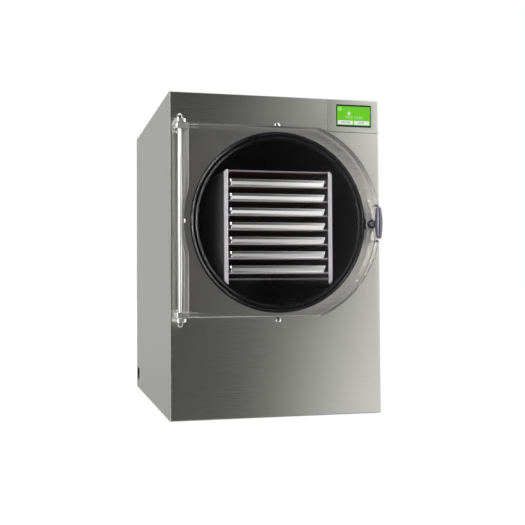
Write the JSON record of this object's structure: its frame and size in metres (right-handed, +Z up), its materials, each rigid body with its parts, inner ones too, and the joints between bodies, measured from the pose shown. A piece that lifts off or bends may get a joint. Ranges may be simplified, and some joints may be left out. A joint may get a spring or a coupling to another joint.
{
  "type": "freeze dryer",
  "caption": "Cabinet freeze dryer with a horizontal vacuum drum behind a thick clear hinged door, a rack of trays inside, a small touch screen and a rear vacuum port.",
  "frame": {"origin": "on the floor, under the middle of the bounding box", "axes": "+Z up, the door towards -Y, +X to the right seen from the front"},
  "size_m": [0.6196, 0.899, 0.908],
  "materials": {
    "panel_steel": "brushed",
    "side_steel": "brushed",
    "pan_steel": "mill",
    "hinge_chrome": "polished",
    "screw_steel": "satin",
    "drum_black": "gloss",
    "gasket_rubber": "satin",
    "foam": "matt",
    "copper": "satin",
    "tube_plastic": "satin",
    "rack_steel": "bright",
    "tray_steel": "bright",
    "heater_rubber": "satin",
    "door_acrylic": "polished",
    "latch_black": "satin",
    "fitting_black": "satin",
    "foot_rubber": "matt",
    "bezel_black": "gloss",
    "board_green": "satin",
    "compressor_black": "gloss",
    "fin_aluminium": "mill",
    "fan_plastic": "satin",
    "screen_green": "lit"
  },
  "bodies": {
    "cabinet": {"front_panel": "panel_steel", "control_plate": "panel_steel", "side_panel_left": "side_steel", "side_panel_right": "side_steel", "top_panel": "side_steel", "back_panel": "side_steel", "base_pan": "pan_steel", "chamber_deck": "pan_steel", "rubber_feet": "foot_rubber", "cabinet_screws": "screw_steel", "display_frame": "bezel_black", "display_screen": "screen_green", "control_board": "board_green", "vacuum_drum": "drum_black", "door_gasket": "gasket_rubber", "drum_bolts": "hinge_chrome", "insulation_jacket": "foam", "evaporator_coil": "copper", "drum_saddles": "pan_steel", "vacuum_port": "screw_steel", "heater_feedthrough": "fitting_black", "drain_tube": "tube_plastic", "rack_side_left": "rack_steel", "rack_side_right": "rack_steel", "rack_top": "rack_steel", "rack_tie": "rack_steel", "rack_shelves": "rack_steel", "heater_mats": "heater_rubber", "hinge_rod": "hinge_chrome", "hinge_bracket_upper": "hinge_chrome", "hinge_bracket_lower": "hinge_chrome", "hinge_screws": "screw_steel", "hinge_washers": "hinge_chrome", "acorn_nuts": "hinge_chrome", "latch_receiver": "latch_black", "compressor": "compressor_black", "condenser": "fin_aluminium", "fan_shroud": "pan_steel", "fan_motor": "compressor_black", "refrigerant_pipes": "copper", "power_inlet": "fitting_black", "pump_outlet": "fitting_black", "switch_frame": "fitting_black", "tray_1": "tray_steel", "tray_2": "tray_steel", "tray_3": "tray_steel", "tray_4": "tray_steel", "tray_5": "tray_steel", "tray_6": "tray_steel", "tray_7": "tray_steel"},
    "door": {"door_panel": "door_acrylic", "hinge_block_upper": "hinge_chrome", "hinge_block_lower": "hinge_chrome", "block_screws": "screw_steel", "latch_bushing": "latch_black", "latch_pins": "latch_black"},
    "latch": {"latch_shaft": "screw_steel", "latch_handle": "latch_black"},
    "fan": {"fan_blade": "fan_plastic"},
    "rocker": {"power_switch": "fitting_black"}
  },
  "joints": [
    {"name": "door_swing", "type": "hinge", "parent": "cabinet", "child": "door", "pos_m": [-0.287, -0.41075, 0.5485], "axis": [0, 0, -1], "range_deg": [0, 175]},
    {"name": "latch_turn", "type": "hinge", "parent": "door", "child": "latch", "pos_m": [0.275, -0.43875, 0.5457], "axis": [0, 1, 0], "range_deg": [0, 90]},
    {"name": "fan_spin", "type": "hinge", "parent": "cabinet", "child": "fan", "pos_m": [0, 0.33625, 0.136], "axis": [0, 1, 0], "continuous": true},
    {"name": "switch_rock", "type": "hinge", "parent": "cabinet", "child": "rocker", "pos_m": [0.215, 0.42125, 0.43], "axis": [1, 0, 0], "range_deg": [0, 16]}
  ]
}
